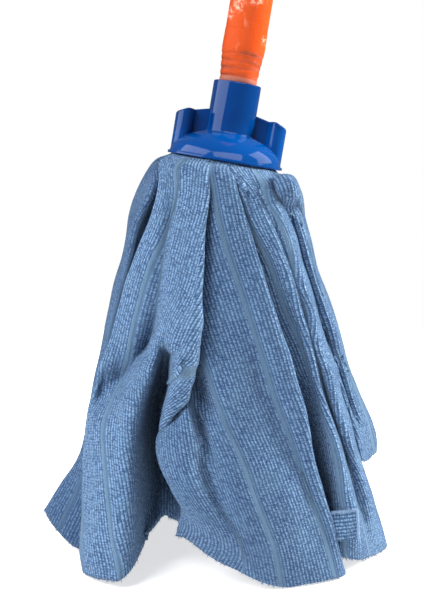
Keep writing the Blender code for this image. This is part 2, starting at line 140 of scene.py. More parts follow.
FRONT = (
    (-5, -113, -5, (
        (-15, -33, 202), (-17, -37, 172), (-19, -40, 139), (-22, -44, 108), (-27, -52, 88),
        (-32, -60, 71), (-29, -64, 60), (-25, -68, 49), (-23, -68, 39), (-25, -68, 30), (-26, -67, 25))),
    (0, -112, -5, (
        (-14, -33, 203), (-16, -37, 174), (-18, -41, 139), (-21, -47, 111), (-28, -56, 91),
        (-36, -68, 78), (-36, -71, 73), (-34, -75, 66), (-30, -79, 59), (-24, -82, 49), (-20, -81, 43),
        (-20, -75, 34), (-20, -73, 26))),
    (3, -111, -5, (
        (-13, -34, 203), (-16, -37, 174), (-18, -42, 139), (-21, -49, 112), (-27, -59, 96),
        (-31, -71, 86), (-31, -76, 77), (-30, -80, 65), (-23, -84, 53), (-15, -85, 42), (-12, -83, 36),
        (-13, -78, 26), (-14, -75, 22))),
    (6, -110, -5, (
        (-13, -34, 203), (-16, -38, 174), (-18, -43, 139), (-21, -52, 112), (-24, -62, 98),
        (-26, -73, 89), (-26, -79, 80), (-24, -83, 68), (-19, -85, 55), (-12, -86, 44), (-5, -85, 32),
        (-5, -80, 23), (-8, -78, 18))),
    (9.5, -108.5, -5, (
        (-12, -35, 204), (-16, -38, 177), (-19, -44, 145), (-21, -53, 114), (-22, -64, 102),
        (-22, -74, 94), (-21, -81, 80), (-18, -84, 65), (-12, -85, 52), (-4, -86, 40), (3, -84, 25),
        (2, -81, 18), (0, -79, 14))),
    (12.5, -107.5, -5, (
        (-12, -36, 204), (-16, -39, 178), (-19, -44, 150), (-20, -50, 124), (-21, -60, 106),
        (-20, -73, 96), (-16, -79, 78), (-10, -75, 64), (-4, -80, 48), (5, -85, 29), (8, -82, 18),
        (7, -80, 11))),
    (15, -106.5, -4, (
        (-11, -37, 204), (-15, -39, 179), (-18, -45, 153), (-20, -50, 127), (-20, -56, 109),
        (-18, -66, 98), (-14, -63, 86), (-7, -75, 71), (-1, -81, 55), (7, -84, 31), (13, -83, 17),
        (13, -81, 8))),
    (18, -105.5, -3, (
        (-11, -38, 205), (-15, -42, 180), (-17, -47, 156), (-18, -53, 130), (-17, -54, 113),
        (-13, -60, 100), (-7, -75, 81), (0, -81, 63), (8, -84, 39), (16, -83, 18), (19, -80, 5))),
    (22.5, -104, -2, (
        (-10, -40, 205), (-13, -44, 180), (-15, -51, 157), (-14, -60, 134), (-10, -67, 116),
        (-4, -71, 103), (3, -75, 84), (11, -79, 65), (17, -82, 41), (26, -81, 20), (30, -78, 1))),
    (29, -103, -1, (
        (-9, -42, 205), (-8, -48, 183), (-6, -55, 160), (0, -62, 134), (8, -68, 109), (19, -72, 80),
        (27, -75, 59), (34, -77, 32), (43, -73, 1))),
    (36, -102, 0, (
        (-7, -41, 216), (-3, -49, 194), (2, -52, 175), (11, -58, 149), (21, -62, 119), (26, -64, 101),
        (38, -66, 71), (44, -67, 51), (53, -66, 24), (59, -66, 1))),
    (39, -96, 0, (
        (-1, -44, 214), (3, -50, 195), (9, -53, 173), (18, -60, 146), (27, -65, 117), (34, -66, 98),
        (41, -68, 71), (46, -68, 52), (56, -65, 26), (63, -63, 1))),
    (42, -89, 0, (
        (3, -41, 217), (5, -46, 208), (13, -50, 184), (20, -56, 161), (30, -61, 131), (38, -64, 106),
        (43, -66, 83), (48, -66, 59), (55, -64, 37), (61, -61, 14), (65, -59, 1))),
    (46, -88, -2, (
        (3, -39, 215), (5, -43, 205), (12, -45, 184), (18, -49, 160), (26, -51, 129), (33, -52, 104),
        (37, -53, 81), (43, -53, 56), (50, -54, 34), (57, -55, 12), (60, -56, 2))),
)
FRONT_RIGHT = (
    (-10, -92, -4, (
        (1, -36, 214), (-1, -38, 199), (2, -42, 172), (7, -47, 145), (12, -50, 118), (17, -51, 96),
        (21, -52, 74), (25, -55, 52), (32, -58, 31), (40, -59, 13))),
    (-4, -89, -4, (
        (2, -37, 213), (4, -39, 198), (8, -40, 172), (14, -44, 145), (22, -44, 118), (28, -44, 96),
        (32, -43, 74), (38, -43, 51), (44, -48, 30), (51, -54, 11))),
    (2, -85, -3, (
        (6, -38, 213), (9, -40, 198), (16, -41, 172), (24, -43, 145), (32, -42, 118), (39, -39, 95),
        (43, -37, 73), (48, -38, 50), (53, -45, 32), (57, -54, 11))),
    (5, -82.5, -1, (
        (9, -43, 209), (16, -43, 184), (24, -42, 159), (34, -41, 128), (43, -39, 101), (47, -38, 77),
        (51, -38, 53), (56, -43, 37), (58, -50, 24), (61, -55, 11))),
    (9, -80, 0, (
        (11, -42, 210), (17, -45, 196), (24, -45, 180), (32, -45, 160), (39, -44, 142), (44, -44, 124),
        (49, -46, 103), (52, -48, 83), (55, -50, 63), (60, -54, 45), (62, -58, 31), (66, -56, 9))),
    (13, -75, 0, (
        (15, -43, 209), (22, -46, 194), (31, -48, 172), (35, -48, 160), (41, -49, 140), (46, -50, 123),
        (50, -52, 105), (55, -56, 90), (59, -58, 76), (63, -59, 62), (67, -60, 44), (70, -59, 36),
        (74, -50, 6))),
    (15, -71, 0, (
        (18, -40, 207), (25, -43, 192), (31, -43, 178), (38, -43, 159), (43, -45, 139), (48, -44, 123),
        (52, -45, 104), (56, -46, 88), (62, -46, 73), (67, -48, 57), (71, -51, 40), (77, -46, 5))),
    (17, -66, 0, (
        (20, -39, 203), (27, -42, 190), (33, -42, 175), (40, -42, 152), (45, -42, 135), (49, -41, 122),
        (54, -41, 103), (59, -40, 87), (64, -38, 69), (69, -41, 50), (74, -43, 31), (81, -40, 4))),
    (21, -55, 0, (
        (24, -41, 208), (28, -43, 200), (35, -44, 181), (42, -46, 157), (47, -46, 144), (49, -48, 128),
        (56, -49, 110), (62, -52, 88), (67, -50, 73), (73, -45, 55), (80, -39, 31), (87, -29, 2))),
    (25, -48, 0, (
        (28, -33, 206), (37, -34, 185), (41, -35, 170), (46, -36, 155), (52, -37, 133), (58, -37, 116),
        (64, -37, 94), (70, -36, 77), (75, -33, 59), (83, -29, 35), (89, -22, 17), (94, -15, 1))),
    (30, -40, -2, (
        (30, -22, 201), (39, -17, 182), (44, -16, 165), (49, -16, 148), (56, -15, 125), (62, -15, 108),
        (67, -16, 88), (71, -15, 72), (76, -12, 49), (84, -9, 27), (89, -7, 11), (94, -4, 1))),
    (36, -34, -4, (
        (32, -12, 200), (39, -5, 181), (44, 0, 163), (49, 4, 145), (55, 4, 122), (61, 4, 104),
        (65, 4, 84), (68, 5, 67), (72, 8, 45), (79, 9, 22), (84, 10, 6), (88, 12, 1))),
)
RIGHT = (
    (-8, -46, -4, (
        (28, -18, 204), (35, -12, 184), (39, -12, 169), (43, -13, 154), (49, -13, 134), (54, -13, 117),
        (61, -13, 96), (66, -13, 79), (70, -13, 62))),
    (-2, -42, -1, (
        (28, -31, 209), (30, -31, 203), (31, -20, 198), (37, -18, 185), (41, -18, 169), (45, -19, 154),
        (52, -19, 134), (58, -17, 115), (64, -17, 98), (69, -19, 82), (74, -20, 58))),
    (3, -36, 1, (
        (29, -31, 217), (29.5, -41, 214), (31, -40, 207), (33, -26, 199), (39, -25, 185), (43, -26, 170),
        (48, -27, 154), (53, -32, 138), (59, -20, 122), (64, -16, 104), (68, -27, 92), (73, -33, 75),
        (77, -28, 57))),
    (5.5, -32, 1, (
        (31, -30, 217), (32.5, -42, 214.5), (34.5, -40, 207), (35, -24, 199), (40, -21.5, 185),
        (44, -22, 170), (50, -23, 154), (55, -31, 138), (60, -22, 123), (65, -11, 106), (69, -20, 90),
        (76, -27, 72), (80, -21, 54))),
    (8, -28, 1, (
        (33, -30, 217), (35, -41, 214.5), (37.5, -39, 207), (37, -23, 199), (42, -28, 185),
        (46, -28, 170), (51, -29, 154), (56, -33, 139), (61, -30, 127), (66, -12, 110), (69, -16, 101),
        (73, -26, 88), (79, -21, 72), (83, -14, 53))),
    (10, -24, 1, (
        (35, -28, 217), (37, -37, 214), (39.5, -34, 207), (39, -20, 199), (43, -20.5, 185),
        (47, -20.5, 170), (52, -21, 154), (58, -29, 139), (63, -26, 127), (67, -10, 111), (71, -10, 100),
        (75, -20, 88), (81, -16, 72), (84, -11, 53))),
    (12, -20, 1, (
        (36, -25, 217), (38.5, -32, 213.5), (41, -29, 206), (41, -16, 198), (44, -22, 185),
        (48, -22, 170), (53, -22, 154), (59, -25, 139), (64, -20, 127), (67, -12, 113), (72, -8, 100),
        (77, -15, 89), (83, -11, 72), (86, -8, 54))),
    (16, -10, 1, (
        (37, -12, 216), (41, -12, 209), (43, -10, 203), (44, -8, 197), (46, -8, 186), (48, -8, 175),
        (54, -8, 159), (61, -7, 141), (66, -6, 124), (70, -5, 110), (75, -4, 98), (79, -4, 86),
        (85, -3, 74), (89, -2, 62), (89, -2, 55))),
)
LEFT = (
    (24, 176, 0, (
        (-45, -2, 217), (-49, -4, 209), (-53, -6, 197), (-57, -8, 175), (-63, -8, 152), (-70, -10, 120),
        (-77, -12, 88), (-82, -12, 58), (-93, -11, 40), (-105, -10, 21))),
    (27, 181, 0, (
        (-39, -26, 215), (-43, -26, 204), (-50, -22, 192), (-53, -23, 176), (-59, -22, 155),
        (-66, -21, 125), (-74, -18, 92), (-78, -18, 62), (-87, -17, 41), (-101, -16, 16))),
    (31, 186, -1, (
        (-38, -23.2, 212), (-43, -22.5, 201), (-47, -21.5, 190), (-51, -22.5, 176), (-56, -23.5, 157),
        (-63, -24.5, 128), (-71, -20.5, 94), (-75, -23.5, 65), (-81, -23.2, 38), (-94, -21.2, 10))),
    (37, 192, -3, (
        (-35, -22.5, 210), (-39, -19, 197), (-43, -19, 186), (-47, -21, 172), (-50, -23, 154),
        (-57, -24, 126), (-66, -22, 96), (-69, -24, 69), (-74, -25.5, 35), (-84, -24.5, 3))),
    (42, 198, -4, (
        (-31, -22.5, 209), (-34, -20, 195), (-39, -19, 183), (-42, -20, 168), (-46, -22, 151),
        (-52, -23, 126), (-60, -22, 97), (-64, -24, 69), (-67, -27.5, 36), (-73, -26.5, 2))),
)

# The far halves of the side cloths, as guides on the skirt: number, angle, hem's height, way out.
RIGHT_FAR = ((22, 2, 50, -4), (28, 11, 38, -1), (34, 20, 26, -6), (40, 30, 14, -2), (45, 37, 8, -7))
LEFT_FAR = ((-2, 143, 6, -8), (3, 149, 6, -2), (8, 155, 6, -8), (13, 161, 6, -2), (18, 169, 6, -7))

# How far a cloth in even folds swells at each height, against its full fold.
FOLD_SWELL = ((206, 0.15), (186, 0.35), (150, 0.6), (110, 0.85), (70, 1.0), (35, 1.1))
HEM_SWELL = 1.15

# The small tab at a hem: left top, right top, right low and left low corners.
TAB_CORNERS = ((57, -62.5, 36.5), (71.5, -61, 37.5), (72.5, -60.5, 21.5), (59.5, -63, 20.5))
TAB_GRID = (26, 40)
TAB_BULGE = 1.2
TAB_THICKNESS = 1.0
STITCH_RADIUS = 0.85

# Painted shade, from 0 to 1: how much darker than the palest cloth each one is painted, for the shade it lies
# in.
PAINTED_SHADE = {
    "front_left": 0, "front": 0.24, "front_right": 0.1, "right": 0.2,
    "back_right": 0.1, "back": 0.1, "back_left": 0.2, "left": 0.42,
}

# The handle's film. Heights are from the rim along the handle.
FILM_RADIUS = 12.0
FILM_END = 74.0
FILM_WALL = 0.1
FILM_GRID = (150, 120)  # rings, points round each
NECK_PROFILE = (  # height, radius
    (44, 10.75), (47.4, 10.85), (49, 11.0), (55, 11.5), (60, 12.0), (64, 12.3), (68, 12.25), (74, 12.12),
)
# How far the dirt and the painted shade reach from a wrinkle's groove.
GROOVE_MARK_REACH = 1.6
PALE_WIDTH = 3.4
WRINKLES = (  # height, depth, half width, arch, where the arch starts
    (47.9, 0.35, 0.8, 0.3, 0.4),
    (52.1, 0.5, 0.9, 0.4, 1.1),
    (55.8, 0.5, 0.9, -0.4, 2.0),
    (59.6, 0.45, 0.8, 0.5, 3.1),
)
SCUFFS = (  # across, up, radius
    (-7, 87, 6),
    (2.6, 91.5, 6),
    (-10.5, 82, 5),
    (10.5, 69.5, 4),
)

SHARP_ANGLE = 32  # edges of CAD nodes that bend more stay sharp

# Studio. Places are in metres.
CAMERA_AT = (-0.0550, -0.655, 0.226)
CAMERA_DOWN = 7.0
CAMERA_LENS = 68.16
ROOM_LIGHT = 0.14  # what the pale room gives, against 1 for the backdrop as it is seen

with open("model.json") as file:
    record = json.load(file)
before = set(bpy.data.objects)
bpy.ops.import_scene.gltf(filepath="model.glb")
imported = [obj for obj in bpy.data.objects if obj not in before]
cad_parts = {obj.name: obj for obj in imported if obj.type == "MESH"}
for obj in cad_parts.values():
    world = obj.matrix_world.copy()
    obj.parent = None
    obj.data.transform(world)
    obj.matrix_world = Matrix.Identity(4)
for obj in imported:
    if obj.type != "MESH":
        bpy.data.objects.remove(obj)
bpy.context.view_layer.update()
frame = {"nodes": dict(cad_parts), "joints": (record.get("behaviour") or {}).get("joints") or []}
turn = next(joint for joint in frame["joints"] if joint["name"] == "handle_turn")
AXIS = Vector(turn["axis"]).normalized()
RIM = Vector(turn["pos_m"]) - AXIS * MOUTH_HEIGHT * MM
FOOT = Vector((RIM.x, RIM.y, 0))
HEAD = Matrix.Translation(RIM) @ Vector((0, 0, 1)).rotation_difference(AXIS).to_matrix().to_4x4()
rng = random.Random(SEED)


# --- lines and sheets ---


def through(knots, values, wanted):
    """Values at the wanted places on a smooth curve through the given ones, of which each knot has a row."""
    shape = (-1,) + (1,) * (values.ndim - 1)
    step = np.diff(knots).reshape(shape)
    slope = np.diff(values, axis=0) / step
    inner = (step[1:] * slope[:-1] + step[:-1] * slope[1:]) / (step[:-1] + step[1:])
    tangent = np.concatenate([slope[:1], inner, slope[-1:]])
    place = np.clip(np.searchsorted(knots, wanted, side="right") - 1, 0, len(step) - 1)
    width = step[place]
    t = (wanted - knots[place]).reshape(shape) / width
    return (
        (2 * t**3 - 3 * t**2 + 1) * values[place]
        + (t**3 - 2 * t**2 + t) * width * tangent[place]
        + (3 * t**2 - 2 * t**3) * values[place + 1]
        + (t**3 - t**2) * width * tangent[place + 1]
    )


def even_line(points, count):
    """A smooth line through the points, as count points the same distance apart."""
    points = np.array(points, float)
    chord = np.sqrt(np.linalg.norm(np.diff(points, axis=0), axis=1))
    knots = np.concatenate([[0], np.cumsum(chord)])
    fine = through(knots, points, np.linspace(0, knots[-1], 400))
    length = np.concatenate([[0], np.cumsum(np.linalg.norm(np.diff(fine, axis=0), axis=1))])
    wanted = np.linspace(0, length[-1], count)
    return np.stack([np.interp(wanted, length, fine[:, k]) for k in range(3)], axis=1)


def under_rim(angle, lift):
    """The cloth's way out of the cap and round the rim, from the rim's foot."""
    turned = math.radians(angle)
    *inner, (last_radius, last_height) = RIM_WAY
    found = []
    for radius, height in (*inner, (last_radius + lift, last_height)):
        at = HEAD @ (Vector((radius * math.cos(turned), radius * math.sin(turned), height)) * MM)
        found.append(tuple((at - FOOT) / MM))
    return found


def skirt_point(angle, height, out):
    """A point on the skirt of cloth, this far out from its middle shape."""
    heights, *sizes = np.array(SKIRT_RINGS)[::-1].T
    half_x, half_y, middle_x, middle_y = (np.interp(height, heights, size) for size in sizes)
    turned = math.radians(angle)
    return (
        middle_x + (half_x + out) * math.cos(turned),
        middle_y + (half_y + out) * math.sin(turned),
        height,
    )


def blurred(grid, across, along):
    """The grid with each point moved towards its neighbours' mean, so that a fold has no kink."""
    for axis, times in ((1, across), (0, along)):
        for _ in range(times):
            ends = [(0, 0)] * grid.ndim
            ends[axis] = (1, 1)
            padded = np.pad(grid, ends, mode="reflect", reflect_type="odd")
            size = grid.shape[axis]
            parts = [np.take(padded, range(k, k + size), axis=axis) for k in range(3)]
            grid = 0.25 * parts[0] + 0.5 * parts[1] + 0.25 * parts[2]
    return grid


def normals_of(grid):
    """Unit normals of a grid of points, out of the mop."""
    down = np.gradient(grid, axis=0)
    across = np.gradient(grid, axis=1)
    normal = np.cross(down, across)
    return normal / np.maximum(np.linalg.norm(normal, axis=2, keepdims=True), 1e-9)


def along(way, down):
    """A guide number that is the same all the way down, or that changes with the distance down."""
    if isinstance(way, (int, float)):
        return np.full(len(down), float(way))
    return np.interp(down, *zip(*way))


def rib_numbers(grid, numbers, runs):
    """Each point's rib number. Ribs are evenly spaced beside one that keeps to a given way down the cloth.

    A run is where it starts, the kept rib's way, and how far down it is in line with the run before. Ribs
    that have no room run into the crease between two runs."""
    down = np.linspace(0, CLOTH_LENGTH, grid.shape[0])
    step = np.linalg.norm(np.diff(grid, axis=1), axis=2)
    across = np.concatenate([np.zeros((len(down), 1)), np.cumsum(step, axis=1)], axis=1) / RIB_PITCH
    found = None
    for start, way, joined in runs:
        first, kept = along(start, down), along(way, down)
        kept_across = np.array([np.interp(kept[row], numbers, across[row]) for row in range(len(down))])
        field = across - kept_across[:, None]
        if found is None:
            found = field + kept[-1]
            continue
        row = int(np.searchsorted(down, joined))
        column = int(np.searchsorted(numbers, first[row]))
        field += found[row, column] - field[row, column]
        found = np.where(numbers[None, :] >= first[:, None], field, found)
    return blurred(found, 2, 2)


def band_shares(ribs, numbers, bands):
    """How far each point lies in a smooth band, and in the seam along the band's right side, from 0 to 1.

    Bands are (guide number at the hem, ribs wide)."""
    share = np.zeros_like(ribs)
    seam = np.zeros_like(ribs)
    for number, width in bands:
        start = np.interp(number, numbers, ribs[-1])
        inside = np.minimum(ribs - start, start + width - ribs)
        share = np.maximum(share, np.clip(inside / 0.5 + 0.5, 0, 1))
        seam = np.maximum(seam, np.clip(1.2 - np.abs(ribs - start - 0.75 * width) / 0.4, 0, 1))
    return share, seam


def crowded_share(grid, ribs):
    """Where ribs are too close together to stand up, from 0 to 1."""
    crowding = np.zeros_like(ribs)
    for axis in (0, 1):
        step = np.linalg.norm(np.gradient(grid, axis=axis), axis=2)
        crowding += (np.gradient(ribs, axis=axis) * RIB_PITCH / np.maximum(step, 1e-6)) ** 2
    return np.clip((np.sqrt(crowding) - 1.5) / 0.6, 0, 1)


def folded(guides):
    """Lofts the guides into a fine grid of points, with each column's guide number."""
    coarse = 1
    rows = int(CLOTH_LENGTH / (ROW_PITCH * coarse)) + 1
    ways = [under_rim(angle, lift) + list(points) for _, angle, lift, points in guides]
    lines = np.array([even_line(way, rows) for way in ways])
    knots = np.array([guide[0] for guide in guides], float)
    widths = np.percentile(np.linalg.norm(np.diff(lines, axis=0), axis=2), 75, axis=1)
    reach = np.concatenate([[0], np.cumsum(widths)])
    columns = int(reach[-1] / (COLUMN_PITCH * coarse)) + 1
    numbers = np.interp(np.linspace(0, reach[-1], columns), reach, knots)
    grid = through(knots, lines, numbers).transpose(1, 0, 2)
    grid = blurred(grid, SOFTENING // coarse**2, 4)
    return blurred(grid + normals_of(grid) * PILE, 4, 1), numbers


def wrinkled(grid, normal, seed):
    """The grid with small waves and lumps, as limp cloth has."""
    moved = np.zeros(grid.shape[:2])
    for row in range(grid.shape[0]):
        for column in range(grid.shape[1]):
            at = Vector(grid[row, column])
            moved[row, column] = LIMP_HEIGHT * noise.noise(at / LIMP_LENGTH + Vector((seed, 0, 0)))
    return grid + normal * moved[:, :, None]


def terry_surface(grid, ribs, share, seam):
    """The grid with its ribs raised, flat in the smooth bands and sunk at their seams."""
    rib = 0.5 + 0.5 * np.cos(2 * math.pi * ribs)
    height = RIB_HEIGHT * ((1 - share) * rib**0.7 + share * (0.6 - 0.6 * seam))
    return grid + normals_of(grid) * height[:, :, None]


def mesh_from(name, points, faces):
    """A new mesh object, from points that are measured from the rim's foot."""
    mesh = bpy.data.meshes.new(name)
    points = np.asarray(points, float) * MM + np.array(FOOT)
    faces = np.asarray(faces)
    mesh.vertices.add(len(points))
    mesh.vertices.foreach_set("co", points.ravel())
    mesh.loops.add(faces.size)
    mesh.loops.foreach_set("vertex_index", faces.ravel())
    mesh.polygons.add(len(faces))
    mesh.polygons.foreach_set("loop_start", np.arange(0, faces.size, faces.shape[1]))
    mesh.polygons.foreach_set("use_smooth", np.full(len(faces), True))
    mesh.update(calc_edges=True)
    mesh.validate()
    obj = bpy.data.objects.new(name, mesh)
    bpy.context.scene.collection.objects.link(obj)
    return obj


def thin_shell(name, front, back):
    """A closed mesh between two grids of points."""
    rows, columns = front.shape[:2]
    offset = rows * columns
    index = np.arange(offset).reshape(rows, columns)
    quads = np.stack([index[:-1, :-1], index[1:, :-1], index[1:, 1:], index[:-1, 1:]], axis=-1).reshape(-1, 4)
    behind = quads[:, ::-1] + offset
    border = np.concatenate([index[:-1, 0], index[-1, :-1], index[:0:-1, -1], index[0, :0:-1]])
    following = np.roll(border, -1)
    rim = np.stack([border, border + offset, following + offset, following], axis=-1)
    points = np.concatenate([front.reshape(-1, 3), back.reshape(-1, 3)])
    return mesh_from(name, points, np.concatenate([quads, behind, rim]))


def store_weave(sheet, weave):
    """Keeps a pair of weave coordinates for each point of a sheet in its UV map."""
    corner = np.empty(len(sheet.data.loops), int)
    sheet.data.loops.foreach_get("vertex_index", corner)
    layer = sheet.data.uv_layers.new(name="Weave")
    layer.data.foreach_set("uv", weave[corner].ravel())


def mark(sheet, label, values):
    """Keeps a number for each point of a sheet, for its material."""
    sheet.data.attributes.new(label, "FLOAT", "POINT").data.foreach_set("value", values)


def terry_sheet(name, guides, runs, bands, seed):
    """One cloth as a thin shell with its bands marked, and the loose ends at its hem."""
    grid, numbers = folded(guides)
    ribs = rib_numbers(grid, numbers, runs)
    share, seam = band_shares(ribs, numbers, bands)
    share = np.maximum(share, crowded_share(grid, ribs))
    grid = wrinkled(grid, normals_of(grid), seed)
    front = terry_surface(grid, ribs, share, seam)
    sheet = thin_shell(name, front, grid - normals_of(grid) * CLOTH_THICKNESS)
    down = np.broadcast_to(np.linspace(0, CLOTH_LENGTH, len(grid))[:, None], ribs.shape)
    store_weave(sheet, np.stack([np.tile((ribs * RIB_PITCH).ravel(), 2), np.tile(down.ravel(), 2)], axis=1))
    mark(sheet, "band", np.tile(share.ravel(), 2))
    mark(sheet, "seam", np.tile(seam.ravel(), 2))
    return sheet, hem_fringe(name, grid)


def tab_grid():
    """The hem tab's middle surface, bulging a little."""
    left_top, right_top, right_low, left_low = (np.array(corner, float) for corner in TAB_CORNERS)
    rows, columns = TAB_GRID
    down = np.linspace(0, 1, rows)[:, None, None]
    across = np.linspace(0, 1, columns)[None, :, None]
    grid = (left_top * (1 - across) + right_top * across) * (1 - down)
    grid = grid + (left_low * (1 - across) + right_low * across) * down
    grid[:, :, 1] -= TAB_BULGE * (np.sin(math.pi * across) * np.sin(math.pi * down))[:, :, 0]
    return grid


def tube_faces(index):
    """Quads between rows of point numbers, where each row is a closed ring."""
    after = np.roll(index, -1, axis=1)
    return np.stack([index[:-1], after[:-1], after[1:], index[1:]], axis=-1).reshape(-1, 4)


def stitched_edge(name, line):
    """Thick stitches over an edge, as a lumpy tube along a line of points."""
    sides = 10
    forward = np.gradient(line, axis=0)
    forward /= np.linalg.norm(forward, axis=1, keepdims=True)
    out = np.cross(forward, (0, 1, 0))
    out /= np.linalg.norm(out, axis=1, keepdims=True)
    points = []
    for k, (at, sideways) in enumerate(zip(line, out)):
        size = STITCH_RADIUS + 0.2 * math.sin(k * 1.9)
        for side in range(sides):
            angle = 2 * math.pi * side / sides
            points.append(at + (sideways * math.cos(angle) + np.array((0, 1, 0)) * math.sin(angle)) * size)
    return mesh_from(name, points, tube_faces(np.arange(len(points)).reshape(-1, sides))[:, ::-1])


def hem_tab(look, edge_look):
    """A small tab of the same cloth at a hem, with an overlocked edge on its top and on its right side."""
    grid = tab_grid()
    rows, columns = TAB_GRID
    length = np.linalg.norm(grid[-1, 0] - grid[0, 0])
    width = np.linalg.norm(grid[0, -1] - grid[0, 0])
    ribs = np.broadcast_to(np.linspace(0, length / RIB_PITCH, rows)[:, None], (rows, columns))
    raised = RIB_HEIGHT * (0.5 + 0.5 * np.cos(2 * math.pi * ribs))[:, :, None]
    normal = normals_of(grid)
    tab = thin_shell("hem_tab", grid + normal * raised, grid - normal * TAB_THICKNESS)
    weave = np.stack([ribs.ravel() * RIB_PITCH, np.tile(np.linspace(0, width, columns), rows)], axis=1)
    store_weave(tab, np.tile(weave, (2, 1)))
    edge = stitched_edge("hem_tab_edge", np.concatenate([grid[0], grid[1:, -1]]))
    for piece, finish in ((tab, look), (edge, edge_look)):
        piece.data.materials.append(finish)
        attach(piece, "mop_head")
    return [tab, edge]


def hem_fringe(name, grid):
    """Loose terry ends along the hem: short bent blades with three sides."""
    hem, above = grid[-1], grid[-4]
    normal = normals_of(grid)[-1]
    down = hem - above
    down /= np.maximum(np.linalg.norm(down, axis=1, keepdims=True), 1e-9)
    side = np.cross(down, normal)
    points, faces = [], []
    count = int(np.linalg.norm(np.diff(hem, axis=0), axis=1).sum() * FRINGE_PER_MM)
    for _ in range(count):
        place = rng.uniform(0, len(hem) - 1.001)
        k = int(place)
        root = hem[k] + (hem[k + 1] - hem[k]) * (place - k) - normal[k] * rng.uniform(-0.2, CLOTH_THICKNESS)
        root = root - down[k] * rng.uniform(0.2, 1.6)
        lean = down[k] + side[k] * rng.gauss(0, 0.38) + normal[k] * rng.gauss(0.05, 0.35)
        lean /= np.linalg.norm(lean)
        length = rng.uniform(0.9, 2.6)
        width = rng.uniform(0.16, 0.34)
        bend = side[k] * rng.gauss(0, 0.25 * length) + normal[k] * rng.gauss(0, 0.2 * length)
        start = len(points)
        for share, size in ((0, 1), (0.6, 0.75)):
            centre = root + lean * length * share + bend * share**2
            for corner in range(3):
                angle = math.radians(120 * corner)
                out = side[k] * math.cos(angle) + normal[k] * math.sin(angle)
                points.append(centre + out * width * size)
        points.append(root + lean * length + bend)
        for a in range(3):
            b = (a + 1) % 3
            faces.append((start + a, start + b, start + 3 + b))
            faces.append((start + a, start + 3 + b, start + 3 + a))
            faces.append((start + 3 + a, start + 3 + b, start + 6))
        faces.append((start + 2, start + 1, start))
    points = np.array(points)
    points[:, 2] = np.maximum(points[:, 2], FLOOR_GAP)
    return mesh_from(name.replace("terry", "fringe"), points, faces)


def skirt_cloth(first_angle, last_angle, folds, depth, hem, inward):
    """Guides, runs and bands of a cloth that hangs in even soft folds between two angles."""
    made = []
    steps = folds * 2
    for k in range(steps + 1):
        share = k / steps
        angle = first_angle + (last_angle - first_angle) * share
        side = 1 if k % 2 == 0 else -1
        points = []
        for height, swell in (*FOLD_SWELL, (hem, HEM_SWELL)):
            out = inward * min(1, (210 - height) / 90) + side * depth * swell
            turned = angle + 2.2 * side * swell * math.sin(height / 40)
            points.append(skirt_point(turned, height, out))
        made.append((6 * k, angle, 0.4 * side, points))
    runs = [(12 * k - 6, 12 * k, CLOTH_LENGTH) for k in range(folds + 1)]
    bands = [(12 * k + 3, 1.8) for k in range(folds)]
    return made, runs, bands


def cloth_guides():
    """Every cloth's guides, runs and bands: the front from the tables, the far side in even folds."""
    right_far = []
    for number, angle, hem, out in RIGHT_FAR:
        points = [skirt_point(angle, height, out) for height in (207, 186, 150, 118, 85)]
        points.append(skirt_point(angle, hem, out - 2))
        right_far.append((number, angle, 0, points))
    left_far = []
    for number, angle, hem, out in LEFT_FAR:
        points = [skirt_point(angle, height, min(0, out + 2)) for height in (207, 186, 150)]
        points += [skirt_point(angle, height, out - 3) for height in (118, 85, 55)]
        points += [skirt_point(angle + 2, 30, out), skirt_point(angle + 4, hem, out + 4)]
        left_far.append((number, angle, 0, points))
    left_side = ((0, 0), (150, 0), (270, 2.8))
    valley = ((0, 8.5), (135, 8.5), (155, 13), (270, 15))
    crossing = ((0, 20), (150, 11), (270, 14))
    flap_start = ((0, 37), (125, 37), (150, 18.5), (270, 17))
    front_left_runs = ((-6, left_side, 0), (valley, crossing, 130), (flap_start, 31, 145))
    return {
        "front_left": (FRONT_LEFT, front_left_runs, ((0, 2.8), (8.4, 1.8))),
        "front": (FRONT, ((-5, 8, 0), (13.5, 36, 270)), ((21.7, 1.9), (35.2, 1.9))),
        "front_right": (FRONT_RIGHT, ((-10, 15, 0),), ((8.2, 1.8), (16.4, 1.8), (27, 1.8))),
        "right": (RIGHT + tuple(right_far), ((-8, 8, 0), (19, 22, 270)), ((12.6, 3), (30, 1.8))),
        "back_right": skirt_cloth(28, 84, 4, 4.0, 6, -3),
        "back": skirt_cloth(66, 128, 4, 4.5, 3, 0),
        "back_left": skirt_cloth(112, 162, 4, 4.0, 5, -5),
        "left": (
            tuple(left_far) + LEFT, ((-2, 3, 0), (20, 31, 270)), ((6, 1.8), (18, 1.8), (29, 1.8)),
        ),
    }


# --- materials ---


